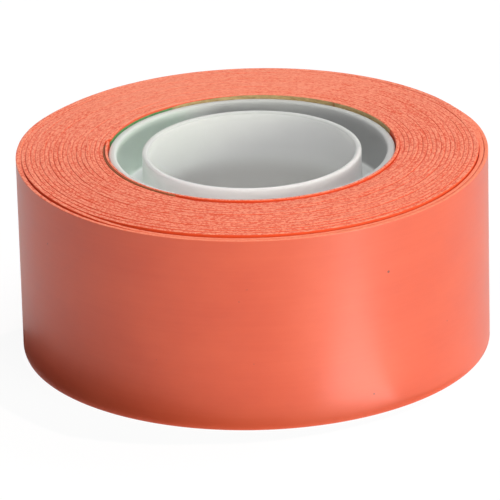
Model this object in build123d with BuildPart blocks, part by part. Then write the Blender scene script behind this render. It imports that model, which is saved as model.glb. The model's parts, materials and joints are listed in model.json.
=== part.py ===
from build123d import *
import math
import os

# Roll of thick tape on a moulded plastic core, lying on its side face.
# Frame: origin on the roll's axis, in the plane the roll rests on; +Z up along the axis. Millimetres.
# Angles are in degrees, counter-clockwise seen from above, 0 along +X.

# ---------------------------------------------------------------- driving dimensions
tape_width = 25.4          # 1 inch tape
tape_thickness = 0.50
turn_pitch = 0.5775        # radial step from one turn to the next
telescope = 0.68           # the innermost turn stands this much proud of the last two
telescope_from_r = 18.2    # radius where the telescoping is full
telescope_step = 0.25      # the last two turns were wound on lower than their neighbour by this much
telescope_step_r = 28.69   # radius of that step, in the gap under the last two turns

inner_end_angle = 171.0    # where the strip starts on the core
ramp_angle = 36.0          # each turn steps outwards over this much arc, just before inner_end_angle
first_turn_r = 18.27       # inner radius of the first turn
full_turns = 18            # turns of even pitch, numbered 0 to 17
loose_pitch = (0.70, 0.62) # the last two turns sit a little loose
free_end_angle = 47.0      # where the strip ends on the outside

end_pieces = 8             # the free end is cut into this many short pieces, which peel off one after another
end_piece_angle = 9.0
end_gap = 0.02             # clearance between neighbouring pieces, along the strip

core_ring_r = 18.15        # outer ring, the tape is wound on it
core_ring_wall = 1.00
core_tube_r = 13.90        # inner tube, outside radius
bore_r = 13.15             # inner tube, inside radius
core_length = 25.4
core_z = 0.22              # the core's lower rim stands this far above the resting plane
web_top_z = 19.70          # upper face of the web
web_thickness = 1.10
rim_round = 0.34
web_fillet = 0.50

starter_thickness = 0.06   # kraft paper
starter_offset = 0.01      # between the paper and the tape's inner face
starter_from = 15.0
starter_to = 239.0
starter_z = 0.62
starter_width = 25.4


# ---------------------------------------------------------------- the winding's path
def turn_radius(n):
    """Inner radius of turn n, away from its ramp."""
    if n < full_turns:
        return first_turn_r + n * turn_pitch
    r = first_turn_r + (full_turns - 1) * turn_pitch
    for k in range(n - full_turns + 1):
        r += loose_pitch[k]
    return r


def path_radius(c):
    """Inner radius of the strip at c degrees of winding past its inner end."""
    n = int(c // 360.0)
    f = c - 360.0 * n
    a, b = turn_radius(n), turn_radius(n + 1) if n < full_turns + 1 else turn_radius(n)
    u = (f - (360.0 - ramp_angle)) / ramp_angle
    if u <= 0:
        return a
    s = 2 * u * u if u < 0.5 else 1 - 2 * (1 - u) ** 2
    return a + (b - a) * s


def at(c, dr=0.0):
    """Point of the strip's inner face at winding angle c, moved outwards by dr."""
    t = math.radians(inner_end_angle + c)
    r = path_radius(c) + dr
    return (r * math.cos(t), r * math.sin(t))


def stations(c0, c1):
    """Arc ends and arc middles from c0 to c1: one arc over each even part, two over each ramp."""
    ends = [c0]
    n = int(c0 // 360.0)
    while True:
        for m in (360.0 * (n + 1) - ramp_angle, 360.0 * (n + 1) - ramp_angle / 2, 360.0 * (n + 1)):
            if c0 < m < c1:
                ends.append(m)
        n += 1
        if 360.0 * n >= c1:
            break
    ends.append(c1)
    out = []
    for a, b in zip(ends, ends[1:]):
        # an arc of more than about 120 degrees is cut, so that no face closes on itself
        k = max(1, math.ceil((b - a) / 170.0))
        for i in range(k):
            out.append((a + (b - a) * i / k, a + (b - a) * (i + 1) / k))
    return out


def strip_outline(c0, c1, low, high):
    """Closed outline of the strip between winding angles c0 and c1, between offsets low and high."""
    spans = stations(c0, c1)
    for a, b in spans:
        ThreePointArc(at(a, low), at((a + b) / 2, low), at(b, low))
    Line(at(c1, low), at(c1, high))
    for a, b in reversed(spans):
        ThreePointArc(at(b, high), at((a + b) / 2, high), at(a, high))
    Line(at(c0, high), at(c0, low))


winding_end = 360.0 * (full_turns + 1) + (free_end_angle - inner_end_angle) % 360.0
end_start = winding_end - end_pieces * end_piece_angle
outer_r = turn_radius(full_turns + 1) + tape_thickness

os.makedirs("parts", exist_ok=True)

# ---------------------------------------------------------------- core: tube, web and ring in one moulding
with BuildPart() as core:
    with BuildSketch(Plane.XZ):
        with BuildLine():
            zb, zt = core_z, core_z + core_length
            ri = core_ring_r - core_ring_wall
            Polyline(
                (bore_r, zb), (core_tube_r, zb), (core_tube_r, web_top_z - web_thickness),
                (ri, web_top_z - web_thickness), (ri, zb), (core_ring_r, zb),
                (core_ring_r, zt), (ri, zt), (ri, web_top_z), (core_tube_r, web_top_z),
                (core_tube_r, zt), (bore_r, zt), close=True,
            )
        make_face()
    revolve(axis=Axis.Z)
    circles = core.edges().filter_by(GeomType.CIRCLE)
    fillet(circles.filter_by(lambda e: abs(e.center().Z - zb) < 1e-4 or abs(e.center().Z - zt) < 1e-4), rim_round)
    circles = core.edges().filter_by(GeomType.CIRCLE)
    fillet(
        circles.filter_by(
            lambda e: abs(e.center().Z - web_top_z) < 1e-4
            or abs(e.center().Z - web_top_z + web_thickness) < 1e-4
        ),
        web_fillet,
    )
core.part.label = "core"
export_step(core.part, "parts/core.step")

# ---------------------------------------------------------------- tape: the wound strip, up to the free end
with BuildPart() as tape_winding:
    with BuildSketch(Plane.XY):
        with BuildLine():
            strip_outline(0.0, end_start, 0.0, tape_thickness)
        make_face()
    extrude(amount=tape_width + telescope)
    # the turns are telescoped: both edges rise towards the centre
    with BuildSketch(Plane.XZ):
        with BuildLine():
            r0, r1, r2 = telescope_from_r - 0.8, telescope_step_r, outer_r + 1.0
            slope = (telescope - telescope_step) / (r1 - telescope_from_r)
            z0, z1 = telescope_step + slope * (r1 - r0), telescope_step
            Polyline(
                (r0, z0), (r1, z1), (r1, 0), (r2, 0),
                (r2, tape_width), (r1, tape_width), (r1, tape_width + z1), (r0, tape_width + z0), close=True,
            )
        make_face()
    revolve(axis=Axis.Z, mode=Mode.INTERSECT)
tape_winding.part.label = "tape_winding"
export_step(tape_winding.part, "parts/tape_winding.step")

# ---------------------------------------------------------------- tape: the free end, in short pieces
for k in range(end_pieces):
    gap = math.degrees(end_gap / outer_r)
    c0 = end_start + k * end_piece_angle + gap
    c1 = end_start + (k + 1) * end_piece_angle
    with BuildPart() as tape_end:
        with BuildSketch(Plane.XY):
            with BuildLine():
                strip_outline(c0, c1, 0.0, tape_thickness)
            make_face()
        extrude(amount=tape_width)
    tape_end.part.label = f"tape_end_{k + 1}"
    export_step(tape_end.part, f"parts/tape_end_{k + 1}.step")

# ---------------------------------------------------------------- starter strip: kraft paper under the first turn
with BuildPart() as starter_strip:
    with BuildSketch(Plane.XY.offset(starter_z)):
        with BuildLine():
            c0 = (starter_from - inner_end_angle) % 360.0
            c1 = c0 + (starter_to - starter_from)
            strip_outline(c0, c1, -starter_offset - starter_thickness, -starter_offset)
        make_face()
    extrude(amount=starter_width)
starter_strip.part.label = "starter_strip"
export_step(starter_strip.part, "parts/starter_strip.step")

# the hinge lines of the free end lie on the strip's outer face, at the start of each piece
for k in range(end_pieces):
    x, y = at(end_start + k * end_piece_angle + math.degrees(end_gap / outer_r) / 2, tape_thickness)
    print(f"hinge {k + 1}: x={x:.4f} y={y:.4f}")
strip_length = sum(
    math.radians(1.0) * (path_radius(c + 0.5) + tape_thickness / 2) for c in range(int(winding_end))
)
print(f"outer radius {outer_r:.3f}, strip length {strip_length:.0f} mm")
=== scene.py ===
# Roll of thick coral tape on a white moulded core: the looks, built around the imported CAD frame.
import bpy
import json
import math
import numpy as np
from mathutils import Matrix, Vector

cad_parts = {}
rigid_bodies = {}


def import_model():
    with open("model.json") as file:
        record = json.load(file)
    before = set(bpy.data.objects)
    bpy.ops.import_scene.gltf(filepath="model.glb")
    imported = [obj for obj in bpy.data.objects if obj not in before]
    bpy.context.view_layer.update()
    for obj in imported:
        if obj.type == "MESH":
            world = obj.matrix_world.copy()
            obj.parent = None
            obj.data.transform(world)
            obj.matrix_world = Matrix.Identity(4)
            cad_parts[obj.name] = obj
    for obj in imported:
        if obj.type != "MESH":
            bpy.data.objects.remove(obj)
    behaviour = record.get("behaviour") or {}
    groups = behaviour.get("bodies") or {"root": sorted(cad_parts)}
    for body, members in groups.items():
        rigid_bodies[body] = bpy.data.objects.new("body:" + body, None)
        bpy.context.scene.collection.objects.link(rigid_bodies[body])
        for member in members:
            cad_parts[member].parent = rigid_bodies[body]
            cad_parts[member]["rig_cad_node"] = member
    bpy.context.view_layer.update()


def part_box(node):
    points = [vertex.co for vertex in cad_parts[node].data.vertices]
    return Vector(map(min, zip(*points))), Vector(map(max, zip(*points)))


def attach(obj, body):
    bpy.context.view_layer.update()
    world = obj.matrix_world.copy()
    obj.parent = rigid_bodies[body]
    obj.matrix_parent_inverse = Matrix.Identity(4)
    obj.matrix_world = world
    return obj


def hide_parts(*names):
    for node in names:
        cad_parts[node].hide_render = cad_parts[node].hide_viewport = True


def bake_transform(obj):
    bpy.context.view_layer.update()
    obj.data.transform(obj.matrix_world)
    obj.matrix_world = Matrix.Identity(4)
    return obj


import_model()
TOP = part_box("tape_winding")[1].z * 1000.0          # mm
CORE_LO, CORE_HI = [v * 1000.0 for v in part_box("core")]
PAPER_LO, PAPER_HI = [v * 1000.0 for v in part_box("starter_strip")]
MM = 0.001
rng = np.random.RandomState(20817)

# ------------------------------------------------------------------ the winding's path, as in the CAD model (mm, degrees)
tape_width, tape_thickness = 25.4, 0.50
turn_pitch, first_turn_r, full_turns = 0.5775, 18.27, 18
loose_pitch = (0.70, 0.62)
inner_end_angle, ramp_angle, free_end_angle = 171.0, 36.0, 47.0
telescope, telescope_from_r, telescope_step, telescope_step_r = 0.68, 18.2, 0.25, 28.69
end_pieces, end_piece_angle, end_gap = 8, 9.0, 0.02
winding_end = 360.0 * (full_turns + 1) + (free_end_angle - inner_end_angle) % 360.0
end_start = winding_end - end_pieces * end_piece_angle
LAST = full_turns + 1


def turn_radius(n):
    n = np.asarray(n)
    r = first_turn_r + np.minimum(n, full_turns - 1) * turn_pitch
    r = r + np.where(n >= full_turns, loose_pitch[0], 0.0)
    return r + np.where(n >= full_turns + 1, loose_pitch[1], 0.0)


def path_radius(c):
    c = np.asarray(c, float)
    n = np.floor(c / 360.0)
    f = c - 360.0 * n
    a, b = turn_radius(n), turn_radius(np.minimum(n + 1, LAST))
    u = np.clip((f - (360.0 - ramp_angle)) / ramp_angle, 0, 1)
    s = np.where(u < 0.5, 2 * u * u, 1 - 2 * (1 - u) ** 2)
    return a + (b - a) * s


def ease(x):
    x = np.clip(x, 0.0, 1.0)
    return x * x * (3 - 2 * x)


def ramp(x, pts):
    """Smooth curve through (x, y) points, flat at each point."""
    xs, ys = [p[0] for p in pts], [p[1] for p in pts]
    x = np.asarray(x, float)
    i = np.clip(np.searchsorted(xs, x, side="right") - 1, 0, len(xs) - 2)
    xs, ys = np.array(xs, float), np.array(ys, float)
    return ys[i] + (ys[i + 1] - ys[i]) * ease((x - xs[i]) / (xs[i + 1] - xs[i]))


def waves(c, periods, amplitudes, seed):
    r = np.random.RandomState(seed)
    out = np.zeros_like(np.asarray(c, float))
    for p, a in zip(periods, amplitudes):
        out += a * np.sin(2 * np.pi * np.asarray(c, float) / p + r.uniform(0, 2 * np.pi))
    return out


def loose(c):
    """How far the last turn but one stands off its even path: it leans on one neighbour, then on the other."""
    return ramp(c, [(6460, 0), (6486, -0.06), (6526, -0.06), (6552, 0.07), (6720, 0.07), (6760, 0.02),
                    (6800, 0), (7300, 0)])


def faces_r(c):
    """Radii of the strip's inner and outer faces. The turns almost touch, and the strip's thickness wanders a little."""
    base = path_radius(c)
    lean = loose(c)
    even = 1.0 - ease((c - 6440.0) / 40.0)           # the last two turns keep the CAD's looser spacing
    past_paper = ease((c - 436.0) / 30.0)
    thick = 0.066 * even * past_paper + waves(c, (83.0, 31.7, 17.1), (0.005, 0.004, 0.003), 5) * even * past_paper
    # round the back and at the left the last turn but one lies tight on its neighbour
    thick = thick + ramp(c, [(0, 0), (6440, 0), (6474, 0.05), (6530, 0.05), (6556, 0), (6656, 0), (6672, 0.12), (6686, 0.23),
                             (6730, 0.22), (6760, 0.18), (6806, 0.17), (6850, 0.17), (6880, 0), (9000, 0)])
    # the second turn is squeezed down over the strip's inner end
    thick = thick + (base - first_turn_r) * ((c > 300) & (c < 360)) * (1 - ease((c - 355.5) / 3.5))
    ri = base - thick + lean
    ro = base + tape_thickness + lean + np.where(c < 6440, waves(c, (57.0, 23.3), (0.004, 0.004), 9), 0.0)
    # the first turn is pressed thinner, so that a line shows between it and the second
    ro = ro - ramp(c, [(-5, 0.17), (0, 0.17), (66, 0.17), (82, 0.06), (225, 0.05), (300, 0.03), (345, 0.0), (9000, 0.0)])
    ro = ro + ramp(c, [(0, 0), (6090, 0), (6118, 0.07), (6170, 0.07), (6196, 0.09), (6270, 0.10), (6296, 0.14), (6322, 0.14),
                       (6344, 0), (9000, 0)])
    return ri, ro


def edge_z(c):
    """Heights of the lower and upper slit edges."""
    r = path_radius(c) + tape_thickness / 2
    slope = (telescope - telescope_step) / (telescope_step_r - telescope_from_r)
    # the step down to the last two turns
    s = telescope_step + slope * (telescope_step_r - r)
    k = ease((c - 6524.0) / 34.0)
    shift = s * (1 - k)
    wander = waves(c, (143.0, 97.3, 61.7, 29.3, 11.9), (0.012, 0.012, 0.011, 0.008, 0.005), 21)
    top = tape_width + shift - 0.035 * (1 - k) - 0.012 * k + wander * (1 - 0.8 * k)
    # round the back the last turn but one rides up level with its neighbour
    rise = ramp(c, [(6655, 0), (6669, 0.06), (6686, 0.21), (6704, 0.25), (6846, 0.25), (6874, 0.0), (9000, 0)])
    # along the front the outer turns sit a little lower, and so do the second turn and its neighbours beside the first
    front = ramp((inner_end_angle + c) % 360.0, [(0, 0), (200, 0), (235, 1), (305, 1), (350, 0), (361, 0)])
    sag = front * ramp(c, [(0, 0), (5760, 0), (5850, 0.04), (6100, 0.05), (6210, 0.09), (6440, 0.09), (6530, 0.16), (9000, 0.16)])
    beside = [(-5, 0), (0, 0), (336, 0), (360, 0.10), (424, 0.13), (440, 0.24), (505, 0.24), (560, 0.09), (720, 0.05)]
    sag = sag + np.where(c < 720, ramp(c, beside), 0) + np.where((c >= 720) & (c < 1080), 0.5 * ramp(c - 360, beside), 0)
    sag = sag + np.where((c >= 1080) & (c < 1440), 0.2 * ramp(c - 720, beside), 0)
    drop = ramp(c, [(7020, 0), (7042, 0.05), (7056, 0.18), (7068, 0.26), (7100, 0.28)])      # the free end sinks behind it
    low = shift * 1.0 + 0.03 * (1 - k) + waves(c, (119.0, 71.7, 33.3), (0.012, 0.009, 0.006), 33) * (1 - k) + rise
    return np.maximum(low, 0.0), np.minimum(top + rise - drop, TOP - 0.002) - sag


def arc_length(c):
    """Length along the strip from its inner end, in mm."""
    grid = np.arange(0.0, winding_end + 2.0, 1.0)
    s = np.concatenate([[0], np.cumsum(np.radians(1.0) * (path_radius(grid[:-1] + 0.5) + tape_thickness / 2))])
    return np.interp(c, grid, s)


# ------------------------------------------------------------------ mesh helpers
def make_object(name, co, faces, smooth=True):
    me = bpy.data.meshes.new(name)
    me.from_pydata((np.asarray(co) * MM).tolist(), [], faces)
    me.update()
    if smooth:
        me.polygons.foreach_set("use_smooth", np.ones(len(me.polygons), bool))
    ob = bpy.data.objects.new(name, me)
    bpy.context.scene.collection.objects.link(ob)
    return ob


def put_attribute(ob, name, kind, values):
    a = ob.data.attributes.new(name, kind, "POINT")
    a.data.foreach_set("vector" if kind == "FLOAT_VECTOR" else "value", np.asarray(values, np.float32).ravel())


def corner(c):
    """Roundness of the strip's edges, in mm: a few turns show a clear line beside them, most only a broken one."""
    n = np.floor(np.asarray(c, float) / 360.0)
    mark = 0.40 + np.random.RandomState(4).rand(40) * 0.50
    for turn, v in ((17, 1.0), (11, 0.95), (4, 0.6), (14, 0.5), (8, 0.4), (1, 0.2), (18, 0.6), (19, 0.7), (20, 0.7)):
        mark[turn] = v
    lo = mark[np.clip(n, 0, 39).astype(int)]
    hi = mark[np.clip(n + 1, 0, 39).astype(int)]
    m = lo + (hi - lo) * ease((c - 360.0 * n - 300.0) / 60.0)
    return np.clip(0.034 + 0.050 * m + waves(c, (197.0, 83.0, 37.0, 11.0), (0.005, 0.005, 0.004, 0.003), 71), 0.024, 0.095)


def strip_mesh(name, cs, seed):
    """Closed strip of tape along winding angles cs: rounded slit edges with a little relief, and flat caps."""
    cs = np.asarray(cs, float)
    n = len(cs)
    ri, ro = faces_r(cs)
    zb, zt = edge_z(cs)
    sup = 0.06
    rc, rco = corner(cs), corner(cs + 360.0)
    k45, k45o = rc * (1 - math.sqrt(0.5)), rco * (1 - math.sqrt(0.5))
    nick = 0.030 * np.random.RandomState(seed + 7).rand(len(cs)) ** 2
    w = ro - ri
    r = np.random.RandomState(seed)
    grit = lambda a: r.normal(0, a, n).clip(-2 * a, 2 * a)
    one = np.ones(n)
    cols = []            # (radius, z, edge factor)
    # inner face, upwards
    cols += [(ri, zb + rc, 0), (ri, zb + rc + sup, 0), (ri, (zb + zt) / 2, 0), (ri, zt - rc - sup, 0), (ri, zt - rc, 0.0)]
    cols += [(ri + k45 + nick, zt - k45 - nick, 0.75)]
    # upper slit edge
    calm = 1 - 0.75 * ease((cs - 6440.0) / 40.0)
    cols += [(ri + rc, zt - 0.004 + grit(0.004) * calm, 1), (ri + w * 0.32, zt + grit(0.011) * calm, 1),
             (ri + w * 0.52, zt + grit(0.011) * calm, 1), (ri + w * 0.72, zt + grit(0.011) * calm, 1),
             (ro - rco, zt - 0.004 + grit(0.004) * calm, 1)]
    cols += [(ro - k45o, zt - k45o - 0.5 * nick, 0.75)]
    # outer face, downwards, with a faint waviness
    sway = waves(cs, (41.0, 23.0, 13.0), (0.004, 0.003, 0.002), 77)
    cols += [(ro, zt - rco, 0.0), (ro, zt - rco - sup, 0), (ro - 0.006 + sway * 0.5, zb + (zt - zb) * 0.75, 0),
             (ro - 0.008 + sway, (zb + zt) / 2, 0), (ro - 0.006 + sway * 0.5, zb + (zt - zb) * 0.25, 0),
             (ro, zb + rc + sup, 0), (ro, zb + rc, 0.0)]
    cols += [(ro - k45, zb + k45, 0.75)]
    cols += [(ro - rc, zb, 1), (ri + w * 0.5, zb + 0.002, 1), (ri + rc, zb, 1)]
    cols += [(ri + k45, zb + k45, 0.75)]
    m = len(cols)
    R = np.stack([np.broadcast_to(a, (n,)) for a, _, _ in cols], 1)
    Z = np.stack([np.broadcast_to(b, (n,)) for _, b, _ in cols], 1)
    Z = np.minimum(Z, TOP - 0.001)
    E = np.stack([np.full(n, e) for _, _, e in cols], 1)
    th = np.radians(inner_end_angle + cs)[:, None]
    co = np.stack([R * np.cos(th), R * np.sin(th), Z], 2).reshape(-1, 3)
    i = np.arange(n - 1)[:, None] * m
    j = np.arange(m)[None, :]
    a, b = i + j, i + (j + 1) % m
    quads = np.stack([a, b, b + m, a + m], 2).reshape(-1, 4)
    faces = [tuple(int(v) for v in q) for q in quads]
    # caps: the profile splits into quads across the thickness
    cap_pairs = cap_faces(m)
    first = [tuple(int(v) for v in f) for f in cap_pairs]
    last = [tuple(int(v) + (n - 1) * m for v in reversed(f)) for f in cap_pairs]
    faces += first + last
    ob = make_object(name, co, faces)
    me = ob.data
    flat = np.zeros(len(me.polygons), bool)
    flat[: len(quads)] = True
    me.polygons.foreach_set("use_smooth", flat)
    # the cap's border is a sharp edge, so that the strip's shading runs straight through a cut
    ends = set(range(m)) | set(range((n - 1) * m, n * m))
    sharp = np.zeros(len(me.edges), bool)
    ev = np.zeros(len(me.edges) * 2, int)
    me.edges.foreach_get("vertices", ev)
    ev = ev.reshape(-1, 2)
    border = lambda v: (v < m) | (v >= (n - 1) * m)
    ring = border(ev[:, 0]) & border(ev[:, 1]) & (np.abs(ev[:, 0] - ev[:, 1]) < m)
    sharp[ring] = True
    at = me.attributes.get("sharp_edge") or me.attributes.new("sharp_edge", "BOOLEAN", "EDGE")
    at.data.foreach_set("value", sharp)
    s = arc_length(cs)
    put_attribute(ob, "strip", "FLOAT_VECTOR", np.stack([np.repeat(s, m), R.ravel(), Z.ravel()], 1))
    put_attribute(ob, "slit", "FLOAT", E.ravel())
    # painted shade: the outer turns' upper edge gets an even, more saturated orange with calmer grain, for their lower,
    # partly shadowed edge
    outer_turn_painted_shade = ramp(cs, [(0, 0), (6510, 0), (6570, 1), (6664, 1), (6694, 0), (6872, 0), (6930, 1), (9000, 1)])
    back = (inner_end_angle + cs + waves(cs, (37.0, 19.0), (6.0, 3.0), 61)) % 360.0
    # painted light: this factor, set by angle round the roll, paints the upper slit edge lighter with weaker grain
    # round the back and darker with stronger grain at the front, for how the light falls across the top
    put_attribute(ob, "grit", "FLOAT", np.repeat(ramp(back, [(0, 0.85), (30, 0.75), (70, 0.42), (125, 0.36), (165, 0.7),
                                                            (200, 0.95), (250, 1.0), (310, 1.0), (360, 0.85), (361, 0.85)]), m))
    put_attribute(ob, "outer_turn_painted_shade", "FLOAT", np.repeat(outer_turn_painted_shade, m))
    # the first turn's inner face shows above the paper, round the back and at the left
    shown = 0.5 * ease((cs - 204.0) / 20.0) * (1 - ease((cs - 350.0) / 10.0))
    # painted shade: faces buried between the turns are painted a deeper, more saturated red, for the reddened shade in
    # the gaps between turns; where the first turn's inner face shows above the paper, half as much
    put_attribute(ob, "buried_painted_shade", "FLOAT", np.repeat(1.0 - ease((cs - 6656.0) / 10.0) - shown, m))
    return ob


def cap_faces(m):
    """Faces over one end of the profile of strip_mesh, as quads and triangles between its inner and outer columns."""
    inner = list(range(0, 6))                    # inner face and upper inner corner, upwards
    upper = list(range(6, 11))
    outer = list(range(11, 20))                  # upper outer corner, outer face, lower outer corner
    lower = list(range(20, 24))                  # lower edge and lower inner corner
    return [
        (0, 23, 22, 21, 20, 19, 18, 17, 1),
        (1, 17, 16, 15, 2),
        (2, 15, 14, 13, 3),
        (3, 13, 12, 11, 10, 9, 8, 7, 6, 5, 4),
    ]


# ------------------------------------------------------------------ node helpers
class Nodes:
    def __init__(self, name):
        self.mat = bpy.data.materials.new(name)
        self.mat.use_nodes = True
        self.t = self.mat.node_tree
        self.t.nodes.clear()
        self.out = self.t.nodes.new("ShaderNodeOutputMaterial")

    def add(self, kind, **values):
        n = self.t.nodes.new(kind)
        for k, v in values.items():
            setattr(n, k, v)
        return n

    def link(self, a, b):
        self.t.links.new(a, b)

    def attribute(self, name, socket="Vector"):
        n = self.add("ShaderNodeAttribute", attribute_name=name)
        return n.outputs[socket]

    def scaled(self, vec, x, y, z):
        n = self.add("ShaderNodeVectorMath", operation="MULTIPLY")
        self.link(vec, n.inputs[0])
        n.inputs[1].default_value = (x, y, z)
        return n.outputs[0]

    def noise(self, vec, scale=1.0, detail=3.0, rough=0.55, distortion=0.0):
        n = self.add("ShaderNodeTexNoise")
        self.link(vec, n.inputs["Vector"])
        n.inputs["Scale"].default_value = scale
        n.inputs["Detail"].default_value = detail
        n.inputs["Roughness"].default_value = rough
        n.inputs["Distortion"].default_value = distortion
        return n.outputs["Fac"]

    def math(self, op, a, b=None, c=None, clamp=False):
        n = self.add("ShaderNodeMath", operation=op)
        n.use_clamp = clamp
        for i, v in enumerate((a, b, c)):
            if v is None:
                continue
            if isinstance(v, (int, float)):
                n.inputs[i].default_value = v
            else:
                self.link(v, n.inputs[i])
        return n.outputs[0]

    def fit(self, v, a, b, c=0.0, d=1.0):
        n = self.add("ShaderNodeMapRange")
        self.link(v, n.inputs["Value"])
        for k, x in (("From Min", a), ("From Max", b), ("To Min", c), ("To Max", d)):
            n.inputs[k].default_value = x
        return n.outputs["Result"]

    def spot(self, strip, along, height, radius):
        """1 within a small round spot on the strip's face, 0 outside it."""
        sep = self.add("ShaderNodeSeparateXYZ")
        self.link(strip, sep.inputs[0])
        dx = self.math("SUBTRACT", sep.outputs[0], along)
        dz = self.math("SUBTRACT", sep.outputs[2], height)
        d = self.math("SQRT", self.math("ADD", self.math("MULTIPLY", dx, dx), self.math("MULTIPLY", dz, dz)))
        n = self.add("ShaderNodeMapRange")
        self.link(d, n.inputs["Value"])
        for k, x in (("From Min", radius * 1.3), ("From Max", radius * 0.7), ("To Min", 0.0), ("To Max", 1.0)):
            n.inputs[k].default_value = x
        return n.outputs["Result"]

    def mix(self, f, a, b, blend="MIX"):
        n = self.add("ShaderNodeMix", data_type="RGBA", blend_type=blend)
        for s, v in ((n.inputs["Factor"], f), (n.inputs["A"], a), (n.inputs["B"], b)):
            pass
        sock = {"Factor": None, "A": None, "B": None}
        fac = [s for s in n.inputs if s.name == "Factor" and s.type == "VALUE"][0]
        ca = [s for s in n.inputs if s.name == "A" and s.type == "RGBA"][0]
        cb = [s for s in n.inputs if s.name == "B" and s.type == "RGBA"][0]
        for s, v in ((fac, f), (ca, a), (cb, b)):
            if isinstance(v, (int, float)):
                s.default_value = v
            elif isinstance(v, (tuple, list)):
                s.default_value = (*v, 1.0)
            else:
                self.link(v, s)
        return [s for s in n.outputs if s.type == "RGBA"][0]

    def bump(self, height, distance, strength=1.0, normal=None):
        n = self.add("ShaderNodeBump")
        n.inputs["Strength"].default_value = strength
        n.inputs["Distance"].default_value = distance
        self.link(height, n.inputs["Height"])
        if normal is not None:
            self.link(normal, n.inputs["Normal"])
        return n.outputs["Normal"]

    def principled(self, **values):
        n = self.add("ShaderNodeBsdfPrincipled")
        for k, v in values.items():
            s = n.inputs[k.replace("_", " ")]
            if isinstance(v, (int, float, tuple)):
                s.default_value = v
            else:
                self.link(v, s)
        self.link(n.outputs[0], self.out.inputs["Surface"])
        return n


# ------------------------------------------------------------------ materials
def tape_material():
    t = Nodes("coral_tape")
    strip = t.attribute("strip")
    slit = t.attribute("slit", "Fac")
    outer_turn_painted_shade = t.attribute("outer_turn_painted_shade", "Fac")
    grit = t.attribute("grit", "Fac")
    buried_painted_shade = t.attribute("buried_painted_shade", "Fac")
    # slit edge: fine crumbly grain with darker pits, drawn out a little along the turn
    streak = t.noise(t.scaled(strip, 0.9, 4.4, 4.4), 1.0, 2.0, 0.55)
    grains = t.noise(t.scaled(strip, 2.5, 3.4, 3.0), 1.0, 3.0, 0.68)
    pits = t.noise(t.scaled(strip, 2.0, 3.2, 3.0), 1.0, 2.0, 0.5, 0.3)
    patches = t.noise(t.scaled(strip, 0.12, 0.35, 0.3), 1.0, 2.0, 0.5)
    dark = t.fit(pits, 0.57, 0.70)
    grain = t.math("ADD", t.fit(streak, 0.30, 0.70, -0.58, 0.58), t.fit(grains, 0.32, 0.68, -1.35, 1.35))
    # grit also carries painted light: it lifts the upper edge's tone round the back and darkens it at the front
    calm = t.math("MULTIPLY", t.math("SUBTRACT", 1.0, t.math("MULTIPLY", outer_turn_painted_shade, 0.62)), grit)
    tone = t.math("ADD", t.math("SUBTRACT", 0.84, t.math("MULTIPLY", grit, 0.27)), t.math("MULTIPLY", grain, calm), clamp=True)
    edge_col = t.mix(tone, (0.82, 0.092, 0.034), (1.0, 0.318, 0.190))
    edge_col = t.mix(t.math("MULTIPLY", t.math("MULTIPLY", dark, 0.62), calm), edge_col, (0.80, 0.088, 0.032))
    edge_col = t.mix(t.fit(patches, 0.35, 0.65, 0.0, 0.16), edge_col, (0.99, 0.38, 0.26))
    # painted shade on the outer turns' upper edge
    edge_col = t.mix(t.math("MULTIPLY", outer_turn_painted_shade, 0.55), edge_col, (0.98, 0.265, 0.140))
    # face: satin film, almost even, with a faint mottle and a few specks
    mottle = t.noise(t.scaled(strip, 0.10, 0.3, 0.16), 1.0, 3.0, 0.55)
    drawn = t.noise(t.scaled(strip, 0.05, 0.5, 2.4), 1.0, 2.0, 0.5)
    speck = t.fit(t.noise(t.scaled(strip, 1.3, 1.0, 1.3), 1.0, 1.0, 0.4), 0.790, 0.815)
    face_col = t.mix(t.fit(mottle, 0.3, 0.7), (0.765, 0.099, 0.040), (0.822, 0.119, 0.049))
    face_col = t.mix(t.fit(drawn, 0.35, 0.65, 0.0, 0.10), face_col, (0.90, 0.15, 0.072))
    face_col = t.mix(t.math("MULTIPLY", speck, 0.45), face_col, (0.45, 0.07, 0.05))
    # painted shade: buried faces take the deeper red of the shaded gaps between turns
    face_col = t.mix(buried_painted_shade, face_col, (0.85, 0.098, 0.030))
    for c, z, size, dark_by in ((6972.3, 18.7, 0.15, 0.85), (6967.7, 2.9, 0.13, 0.7), (6879.7, 19.6, 0.12, 0.4)):
        face_col = t.mix(t.math("MULTIPLY", t.spot(strip, float(arc_length(c)), z, size), dark_by), face_col, (0.10, 0.03, 0.03))
    col = t.mix(slit, face_col, edge_col)
    rough_face = t.fit(mottle, 0.3, 0.7, 0.44, 0.50)
    rough = t.math("ADD", t.math("MULTIPLY", slit, 0.32), rough_face)
    fine = t.noise(t.scaled(strip, 3.0, 3.0, 3.0), 1.0, 2.0, 0.5)
    h_edge = t.math("ADD", t.math("MULTIPLY", grain, 1.0), t.math("MULTIPLY", dark, -0.8))
    n1 = t.bump(t.math("MULTIPLY", t.math("MULTIPLY", h_edge, slit), calm), 0.00004, 0.42)
    n2 = t.bump(t.math("ADD", t.math("MULTIPLY", drawn, 0.6), t.math("MULTIPLY", fine, 0.25)), 0.000006, 0.5, n1)
    p = t.principled(Base_Color=col, Roughness=rough, Normal=n2)
    open_face = t.math("SUBTRACT", 1.0, buried_painted_shade, clamp=True)
    coat = t.math("MULTIPLY", t.math("MULTIPLY", t.math("SUBTRACT", 1.0, slit, clamp=True), open_face), 0.75)
    t.link(t.math("ADD", 0.15, t.math("MULTIPLY", t.math("MAXIMUM", slit, open_face), 0.35)), p.inputs["Specular IOR Level"])
    t.link(coat, p.inputs["Coat Weight"])
    p.inputs["Coat Roughness"].default_value = 0.33
    t.mat.diffuse_color = (0.86, 0.14, 0.07, 1)
    return t.mat


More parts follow.
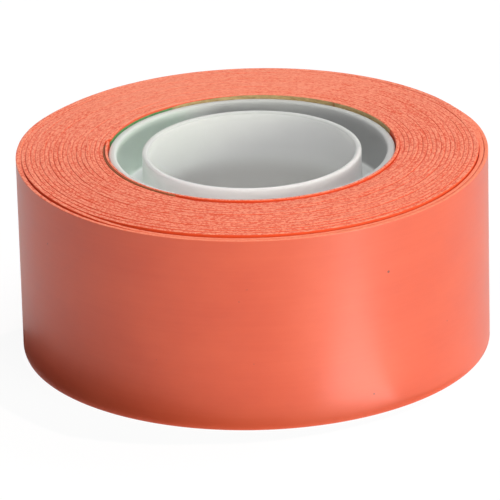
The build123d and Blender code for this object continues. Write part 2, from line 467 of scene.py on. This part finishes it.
def paper_material():
    t = Nodes("kraft_paper")
    strip = t.attribute("strip")
    green = t.attribute("printed", "Fac")
    fibre = t.noise(t.scaled(strip, 1.2, 1.0, 4.0), 1.0, 4.0, 0.65)
    blot = t.noise(t.scaled(strip, 0.5, 1.0, 0.8), 1.0, 2.0, 0.5)
    col = t.mix(t.fit(fibre, 0.3, 0.7), (0.36, 0.235, 0.092), (0.64, 0.46, 0.215))
    col = t.mix(t.fit(blot, 0.35, 0.7, 0.0, 0.35), col, (0.25, 0.20, 0.08))
    ink = t.mix(t.fit(fibre, 0.3, 0.7), (0.035, 0.20, 0.06), (0.09, 0.34, 0.12))
    col = t.mix(t.math("MULTIPLY", green, 0.92), col, ink)
    # painted shade: dark red-brown on the paper past the tape's inner end, where it lies in the gap between turns; the
    # same attribute carries a real dark fleck
    col = t.mix(t.math("MULTIPLY", t.attribute("painted_shade_and_fleck", "Fac"), 0.88), col, (0.32, 0.085, 0.026))
    n = t.bump(fibre, 0.00002, 0.6)
    t.principled(Base_Color=col, Roughness=0.85, Normal=n)
    return t.mat


def plastic_material():
    t = Nodes("core_plastic")
    co = t.add("ShaderNodeTexCoord").outputs["Object"]
    cloud = t.noise(t.scaled(co, 90, 90, 60), 1.0, 3.0, 0.5)
    flow = t.noise(t.scaled(co, 260, 260, 40), 1.0, 2.0, 0.5)
    fine = t.noise(t.scaled(co, 2600, 2600, 1500), 1.0, 2.0, 0.5)
    col = t.mix(t.fit(cloud, 0.3, 0.7), (0.91, 0.93, 0.91), (0.94, 0.955, 0.94))
    # painted shade: the rims are painted a darker grey, holding down the light they catch
    col = t.mix(t.attribute("rim", "Fac"), col, (0.57, 0.575, 0.56))
    # painted light: the tube's outer wall towards the front is painted pinkish, for coral light from the tape
    col = t.mix(t.attribute("painted_coral_light", "Fac"), col, (0.86, 0.775, 0.765))
    # below the web no light comes through the tube from behind
    col = t.mix(t.attribute("below_web", "Fac"), col, (0.76, 0.75, 0.73))
    # painted shade: the web, down between the tube and the ring, is painted a darker grey
    col = t.mix(t.attribute("web", "Fac"), col, (0.72, 0.735, 0.725))
    # the ring is thin enough to show what is wound on it: the green print at the left. Round the back and the right its
    # inner wall is painted dark grey, the kraft showing through and painted shade.
    col = t.mix(t.attribute("over_green", "Fac"), col, (0.62, 0.725, 0.645))
    col = t.mix(t.attribute("kraft_and_painted_shade", "Fac"), col, (0.30, 0.295, 0.30))
    rough = t.math("ADD", t.fit(flow, 0.3, 0.7, 0.34, 0.44), t.math("MULTIPLY", t.attribute("rim", "Fac"), 0.25))
    n = t.bump(t.math("ADD", t.math("MULTIPLY", flow, 1.0), t.math("MULTIPLY", fine, 0.25)), 0.00002, 0.35)
    p = t.principled(Base_Color=col, Roughness=rough, Normal=n)
    p.inputs["Specular IOR Level"].default_value = 0.32
    p.inputs["Subsurface Weight"].default_value = 1.0
    p.inputs["Subsurface Radius"].default_value = (1.0, 1.0, 1.0)
    p.inputs["Subsurface Scale"].default_value = 0.0022
    return t.mat


TAPE, PAPER, PLASTIC = tape_material(), paper_material(), plastic_material()

# ------------------------------------------------------------------ tape: the winding, up to half a piece before the first hinge
half = end_piece_angle / 2
cut0 = end_start - half
step = 1.2
cs = np.linspace(0.0, cut0, int(round(cut0 / step)) + 1)
winding = strip_mesh("tape_roll", cs, 101)
winding.data.materials.append(TAPE)
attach(winding, "roll")
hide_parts("tape_winding")

# ------------------------------------------------------------------ tape: the free end, cut into pieces at its hinges
for k in range(1, end_pieces + 1):
    hinge = end_start + (k - 1) * end_piece_angle
    c0, c1 = hinge - half, hinge + half
    piece = strip_mesh(f"tape_tail_{k}", np.linspace(c0, c1, 19), 300 + k)
    piece.data.materials.append(TAPE)
    a = "roll" if k == 1 else f"free_end_{k - 1}"
    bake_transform(piece)
    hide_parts(f"tape_end_{k}")
tip = strip_mesh("tape_tail_tip", np.linspace(winding_end - half, winding_end, 10), 390)
tip.data.materials.append(TAPE)
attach(tip, "free_end_8")

# ------------------------------------------------------------------ starter strip of kraft paper
p0, p1 = (15.0 - inner_end_angle) % 360.0, (15.0 - inner_end_angle) % 360.0 + 224.0
cs = np.linspace(p0, p1, 301)
n = len(cs)
base = first_turn_r + (path_radius(cs) - first_turn_r) * ease((cs - 356.0) / 3.6)      # past the strip's inner end it lies outside the first turn
rip = waves(cs, (23.0, 9.7, 5.3), (0.004, 0.003, 0.003), 55)
zb = PAPER_LO.z + 0.03 + np.abs(waves(cs, (37.0, 11.0, 3.1), (0.02, 0.012, 0.006), 56))
zt = PAPER_HI.z - 0.005 - 0.6 * np.abs(waves(cs, (41.0, 13.0, 3.7), (0.03, 0.016, 0.010), 57))
printed = ease((cs - 311.5) / 2.0) * (1 - ease((cs - 361.0) / 2.5))
zt = zt - (0.13 * ease((cs - 276.0) / 30.0) + 0.15 * ease((cs - 306.0) / 9.0)) * (1 - ease((cs - 361.0) / 6.0))      # the green end sits a little lower
zt = zt - 0.30 * ease((cs - 356.6) / 1.2) * (1 - ease((cs - 360.0) / 1.6))       # it dips where it passes the strip's inner end
swell = 0.085 * ease((cs - 362.0) / 6.0)                                        # and past it the paper lies looser
th = np.radians(inner_end_angle + cs)
rip = rip - swell
prof = [(base - 0.066 + rip, zb), (base - 0.066 + rip, (zb + zt) / 2), (base - 0.066 + rip, zt - 0.02), (base - 0.055 + rip, zt),
        (base - 0.022 + rip * 0.3, zt), (base - 0.014, zt - 0.02), (base - 0.014, (zb + zt) / 2), (base - 0.014, zb)]
m = len(prof)
co = np.stack([np.stack([r * np.cos(th), r * np.sin(th), z], 1) for r, z in prof], 1).reshape(-1, 3)
faces = []
for i in range(n - 1):
    for j in range(m):
        a, b = i * m + j, i * m + (j + 1) % m
        faces.append((a, b, b + m, a + m))
faces += [(0, 7, 6, 1), (1, 6, 5, 4, 3, 2)]
faces += [tuple(v + (n - 1) * m for v in reversed(f)) for f in [(0, 7, 6, 1), (1, 6, 5, 4, 3, 2)]]
paper = make_object("starter_paper", co, faces)
s = arc_length(cs)
put_attribute(paper, "strip", "FLOAT_VECTOR", np.stack([np.repeat(s, m), np.stack([r for r, _ in prof], 1).ravel(), co[:, 2]], 1))
put_attribute(paper, "printed", "FLOAT", np.repeat(printed, m))
fleck = np.exp(-((cs - 243.0) / 0.45) ** 2)                                     # a small dark fleck at the back
# past the tape's inner end the paper is painted dark red-brown: painted shade in the gap between the turns
put_attribute(paper, "painted_shade_and_fleck", "FLOAT", np.repeat(np.maximum(ease((cs - 360.0) / 4.0), fleck), m))
paper.data.materials.append(PAPER)
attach(paper, "roll")
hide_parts("starter_strip")

# ------------------------------------------------------------------ core: one moulding, turned about the axis
bore_r, tube_r, ring_r, ring_wall = 13.15, 13.90, 18.15, 1.00
web_top, web_thick, rim_round, web_fillet = 19.70, 1.10, 0.34, 0.50
zlo, zhi = CORE_LO.z, CORE_HI.z
ri = ring_r - ring_wall


def arc(cx, cz, rad, a0, a1, k):
    return [(cx + rad * math.cos(math.radians(a0 + (a1 - a0) * i / k)), cz + rad * math.sin(math.radians(a0 + (a1 - a0) * i / k)))
            for i in range(k + 1)]


q, f = rim_round, web_fillet
prof = []
prof += arc(bore_r + q, zhi - q, q, 180, 90, 6) + arc(tube_r - q, zhi - q, q, 90, 0, 6)          # tube, upper rim
prof += [(tube_r, zhi - 1.2), (tube_r, zhi - 3.0), (tube_r, web_top + f + 0.4)]
prof += arc(tube_r + f, web_top + f, f, 180, 270, 6)                                                  # web, upper face
prof += [(tube_r + f + 0.5, web_top), ((tube_r + ri) / 2, web_top), (ri - f - 0.5, web_top)]
prof += arc(ri - f, web_top + f, f, 270, 360, 6)
prof += [(ri, web_top + f + 0.4), (ri, zhi - 3.0), (ri, zhi - 1.2)]
prof += arc(ri + q, zhi - q, q, 180, 90, 6) + arc(ring_r - q, zhi - q, q, 90, 0, 6)                # ring, upper rim
prof += [(ring_r, zhi - 1.2), (ring_r, (zlo + zhi) / 2), (ring_r, zlo + 1.2)]
prof += arc(ring_r - q, zlo + q, q, 0, -90, 6) + arc(ri + q, zlo + q, q, 270, 180, 6)              # ring, lower rim
prof += [(ri, zlo + 1.2), (ri, (zlo + web_top) / 2), (ri, web_top - web_thick - f - 0.4)]
prof += arc(ri - f, web_top - web_thick - f, f, 0, 90, 6)
prof += [((tube_r + ri) / 2, web_top - web_thick)]
prof += arc(tube_r + f, web_top - web_thick - f, f, 90, 180, 6)
prof += [(tube_r, web_top - web_thick - f - 0.4), (tube_r, (zlo + web_top) / 2), (tube_r, zlo + 1.2)]
prof += arc(tube_r - q, zlo + q, q, 0, -90, 6) + arc(bore_r + q, zlo + q, q, 270, 180, 6)          # tube, lower rim
prof += [(bore_r, zlo + 1.2), (bore_r, zlo + 9.0), (bore_r, zhi - 9.6), (bore_r, zhi - 8.4), (bore_r, zhi - 7.6),
         (bore_r, zhi - 6.8), (bore_r, zhi - 6.0), (bore_r, zhi - 5.2), (bore_r, zhi - 4.0), (bore_r, zhi - 1.2)]
seg = 288
m = len(prof)
pr, pz = np.array([p[0] for p in prof]), np.array([p[1] for p in prof])
th = np.radians(np.arange(seg) * 360.0 / seg)
co = np.stack([pr[None, :] * np.cos(th)[:, None], pr[None, :] * np.sin(th)[:, None], np.broadcast_to(pz, (seg, m))], 2).reshape(-1, 3)
faces = []
for i in range(seg):
    for j in range(m):
        a, b = i * m + j, i * m + (j + 1) % m
        c, d = ((i + 1) % seg) * m + (j + 1) % m, ((i + 1) % seg) * m + j
        faces.append((a, b, c, d))
core = make_object("core_moulding", co, faces)
core.data.materials.append(PLASTIC)
deg = np.degrees(th)
wall = ease((pr - (ri - 0.45)) / 0.4) * (1 - 0.75 * ease((pz - (zhi - 0.5)) / 0.5))
g = ease((deg - 108.0) / 18.0) * (1 - ease((deg - 186.0) / 30.0))
# round the back and the right of the ring's inner wall: kraft showing through, and painted shade
turned = (deg + 60.0) % 360.0
b = ease((turned - 8.0) / 40.0) * (1 - ease((turned - 160.0) / 24.0)) * 0.8
put_attribute(core, "over_green", "FLOAT", (g[:, None] * wall[None, :]).ravel())
put_attribute(core, "kraft_and_painted_shade", "FLOAT", (b[:, None] * wall[None, :]).ravel())
# the web, which takes the painted shade
web = ease((pr - tube_r - 0.2) / 0.5) * (1 - ease((pr - (ri - 0.7)) / 0.5)) * (1 - ease((pz - web_top - 0.3) / 0.6))
put_attribute(core, "web", "FLOAT", np.tile(web, seg))
# the rims, where the painted shade goes
rim = ease((pz - (zhi - 0.45)) / 0.25)
put_attribute(core, "rim", "FLOAT", np.tile(rim, seg))
bore = 1 - ease((pr - bore_r - 0.05) / 0.2)
put_attribute(core, "below_web", "FLOAT", np.tile(bore * (1 - ease((pz - (web_top - 2.6)) / 3.2)), seg))
# the tube's outer wall above the web, towards the front, takes the painted coral light
outer_wall = ease((pr - bore_r - 0.2) / 0.3) * (1 - ease((pr - tube_r - 0.3) / 0.4)) * ease((pz - web_top) / 1.0)
toward = ease((deg - 195.0) / 40.0) * (1 - ease((deg - 330.0) / 40.0))
put_attribute(core, "painted_coral_light", "FLOAT", (toward[:, None] * outer_wall[None, :]).ravel())
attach(core, "roll")
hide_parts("core")

for ob in bpy.data.objects:                         # outward faces everywhere
    if ob.type == "MESH" and "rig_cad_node" not in ob:
        import bmesh
        bm = bmesh.new()
        bm.from_mesh(ob.data)
        bmesh.ops.recalc_face_normals(bm, faces=bm.faces)
        bm.to_mesh(ob.data)
        bm.free()

# ------------------------------------------------------------------ floor, light and camera
R0 = 29.92
f_px, D, e, roll, cx, cy = 5493.68, 23.2543, 0.37125, -0.02567, 254.376, 150.615
H = 25.4 / R0
C = np.array([0.0, -D * math.cos(e), H + D * math.sin(e)]) * R0
right, fwd, up = np.array([1.0, 0, 0]), np.array([0, math.cos(e), -math.sin(e)]), np.array([0, math.sin(e), math.cos(e)])
ax, ay = math.atan((cx - 250) / f_px), math.atan((cy - 250) / f_px)
r1 = math.cos(ax) * right + math.sin(ax) * fwd
f1 = -math.sin(ax) * right + math.cos(ax) * fwd
u2 = math.cos(ay) * up - math.sin(ay) * f1
f2 = math.sin(ay) * up + math.cos(ay) * f1
r3 = math.cos(roll) * r1 + math.sin(roll) * u2
u3 = -math.sin(roll) * r1 + math.cos(roll) * u2
cam_data = bpy.data.cameras.new("camera")
cam = bpy.data.objects.new("camera", cam_data)
bpy.context.scene.collection.objects.link(cam)
cam.matrix_world = Matrix(((r3[0], u3[0], -f2[0], C[0] * MM), (r3[1], u3[1], -f2[1], C[1] * MM),
                           (r3[2], u3[2], -f2[2], C[2] * MM), (0, 0, 0, 1)))
cam_data.sensor_width = 36.0
cam_data.lens = f_px / 500.0 * 36.0
cam_data.clip_start, cam_data.clip_end = 0.05, 20.0
cam_data.dof.use_dof = False
bpy.context.scene.camera = cam

fl = make_object("floor", np.array([(-2500, -2500, -0.02), (2500, -2500, -0.02), (2500, 2500, -0.02), (-2500, 2500, -0.02)]), [(0, 1, 2, 3)], False)
t = Nodes("pale_floor")
d = t.add("ShaderNodeBsdfDiffuse")
d.inputs["Color"].default_value = (0.66, 0.66, 0.66, 1)
em = t.add("ShaderNodeEmission")
em.inputs["Color"].default_value = (1, 1, 1, 1)
em.inputs["Strength"].default_value = 0.92
d2 = t.add("ShaderNodeBsdfDiffuse")
d2.inputs["Color"].default_value = (0.10, 0.10, 0.10, 1)
addn = t.add("ShaderNodeAddShader")
t.link(em.outputs[0], addn.inputs[0]); t.link(d2.outputs[0], addn.inputs[1])
lp = t.add("ShaderNodeLightPath")
mx = t.add("ShaderNodeMixShader")
t.link(lp.outputs["Is Camera Ray"], mx.inputs[0]); t.link(d.outputs[0], mx.inputs[1]); t.link(addn.outputs[0], mx.inputs[2])
t.link(mx.outputs[0], t.out.inputs["Surface"])
fl.data.materials.append(t.mat)

world = bpy.data.worlds.new("studio")
bpy.context.scene.world = world
world.use_nodes = True
bg = world.node_tree.nodes["Background"]
bg.inputs["Color"].default_value = (1, 1, 1, 1)
bg.inputs["Strength"].default_value = 0.17


def area(name, azimuth, elevation, distance, width, height, power, target=(0, 0, 0.013), color=(1, 1, 1)):
    """Soft box at an azimuth (0 along +X, counter-clockwise) and elevation, facing the roll."""
    data = bpy.data.lights.new(name, "AREA")
    data.shape, data.size, data.size_y = "RECTANGLE", width, height
    data.energy, data.color = power, color
    ob = bpy.data.objects.new(name, data)
    bpy.context.scene.collection.objects.link(ob)
    a, b = math.radians(azimuth), math.radians(elevation)
    d = np.array([math.cos(a) * math.cos(b), math.sin(a) * math.cos(b), math.sin(b)])
    z = d
    x = np.cross([0, 0, 1.0], z); x /= np.linalg.norm(x)
    y = np.cross(z, x)
    p = np.array(target) + d * distance
    ob.matrix_world = Matrix(((x[0], y[0], z[0], p[0]), (x[1], y[1], z[1], p[1]), (x[2], y[2], z[2], p[2]), (0, 0, 0, 1)))
    return ob


area("key", -42, 8, 1.0, 0.5, 0.3, 6.2, color=(0.98, 1.0, 0.87))
area("overhead", -78, 64, 1.0, 0.6, 0.6, 5.6)
area("back_right", 42, 48, 1.1, 0.6, 0.5, 4.6)
area("back_left", 125, 7, 0.9, 0.8, 0.3, 1.8)
# a bright card lying on the floor in front to the right, seen only as a soft upright gleam in the tape
card = area("card", -42, 0, 0.05, 0.060, 0.013, 0.0062)
card.matrix_world = (Matrix.Translation((0.0375, -0.0501, 0.0004)) @ Matrix.Rotation(math.radians(-42), 4, "Z")
                     @ Matrix.Rotation(math.pi, 4, "X"))
card.visible_camera = card.visible_diffuse = False
# a dark flag on the floor round the foot of the roll at the left keeps the bounce off its lower edge
ang = np.radians(np.linspace(172.0, 332.0, 81))
wide = np.interp(np.degrees(ang), [172, 186, 232, 258, 290, 332], [0.4, 7.5, 8.0, 4.0, 1.6, 0.1])
co = np.concatenate([np.stack([30.3 * np.cos(ang), 30.3 * np.sin(ang), np.full(81, 0.12)], 1),
                     np.stack([(30.3 + wide) * np.cos(ang), (30.3 + wide) * np.sin(ang), np.full(81, 0.12)], 1)])
flag = make_object("flag", co, [(i, i + 81, i + 82, i + 1) for i in range(80)], False)
t = Nodes("black_flag")
d = t.add("ShaderNodeBsdfDiffuse")
d.inputs["Color"].default_value = (0.03, 0.015, 0.012, 1)
t.link(d.outputs[0], t.out.inputs["Surface"])
flag.data.materials.append(t.mat)
flag.visible_camera = flag.visible_shadow = False
bpy.context.scene.view_settings.view_transform = "Standard"
bpy.context.scene.view_settings.look = "None"
bpy.context.scene.view_settings.exposure = 0.0
bpy.context.scene.view_settings.gamma = 1.0
